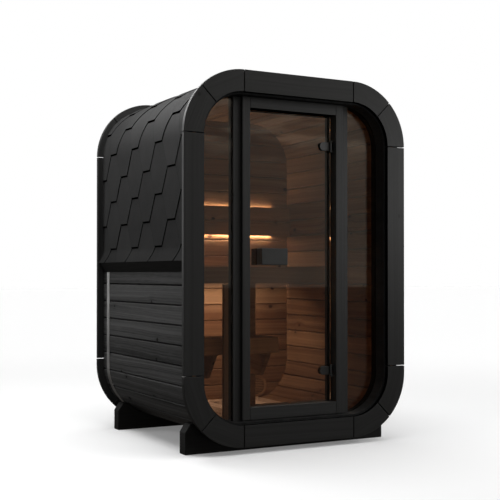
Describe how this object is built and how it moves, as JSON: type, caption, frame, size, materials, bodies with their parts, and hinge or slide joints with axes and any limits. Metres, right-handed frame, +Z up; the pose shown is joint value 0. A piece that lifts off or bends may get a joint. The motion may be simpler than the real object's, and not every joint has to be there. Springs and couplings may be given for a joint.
{
  "type": "cube sauna",
  "caption": "Small outdoor sauna cabin with rounded corners, glazed front, hinged glass door, shingled back and inner benches.",
  "frame": {"origin": "centre of the footprint on the ground", "axes": "+Z up, -Y towards the glazed front, +X to the hinge side of the door"},
  "size_m": [1.43, 1.33, 2.08],
  "materials": {
    "tinted_glass": "bronze tinted safety glass, polished",
    "bitumen_shingle": "fine mineral grit on bitumen felt",
    "steel_strap": "plain brushed strip",
    "black_hardware": "satin powder coat",
    "light_diffuser": "warm diffuser",
    "thermo_board": "heat treated boards, planed",
    "ring_board": "black stained boards, satin",
    "black_joinery": "black stained joinery, satin",
    "foot_timber": "black stained timber",
    "black_board": "black stained boards outside, planed heat treated wood inside"
  },
  "bodies": {
    "cabin": {"foot_beam_front": "foot_timber", "foot_beam_back": "foot_timber", "base_boards": "black_board", "wall_left": "black_board", "wall_right": "black_board", "roof_boards": "black_board", "corner_low_left": "black_board", "corner_low_right": "black_board", "corner_high_left": "black_board", "corner_high_right": "black_board", "floor_boards": "thermo_board", "back_wall": "thermo_board", "vent_grille": "thermo_board", "front_ring_rails": "ring_board", "front_ring_stiles": "ring_board", "front_ring_corners": "ring_board", "back_ring_rails": "ring_board", "back_ring_stiles": "ring_board", "back_ring_corners": "ring_board", "glazing_hoop": "black_joinery", "mullion_left": "black_joinery", "mullion_right": "black_joinery", "side_pane_left": "tinted_glass", "side_pane_right": "tinted_glass", "jamb_latch": "black_joinery", "jamb_hinge": "black_joinery", "door_head": "black_joinery", "door_sill": "black_joinery", "hinge_plates": "black_hardware", "skin_left": "bitumen_shingle", "skin_right": "bitumen_shingle", "skin_roof": "bitumen_shingle", "eave_wedges": "black_board", "straps": "steel_strap", "upper_bench": "thermo_board", "upper_frame": "thermo_board", "lower_bench": "thermo_board", "backrest": "thermo_board", "light_bars": "light_diffuser", "inner_post": "thermo_board"},
    "door": {"door_pane": "tinted_glass", "hinge_clamps": "black_hardware", "handle_outside": "black_joinery", "handle_inside": "black_joinery"}
  },
  "joints": [
    {"name": "door_hinge", "type": "hinge", "parent": "cabin", "child": "door", "pos_m": [0.267, -0.562, 0], "axis": [0, 0, 1], "range_deg": [0, 100]}
  ]
}
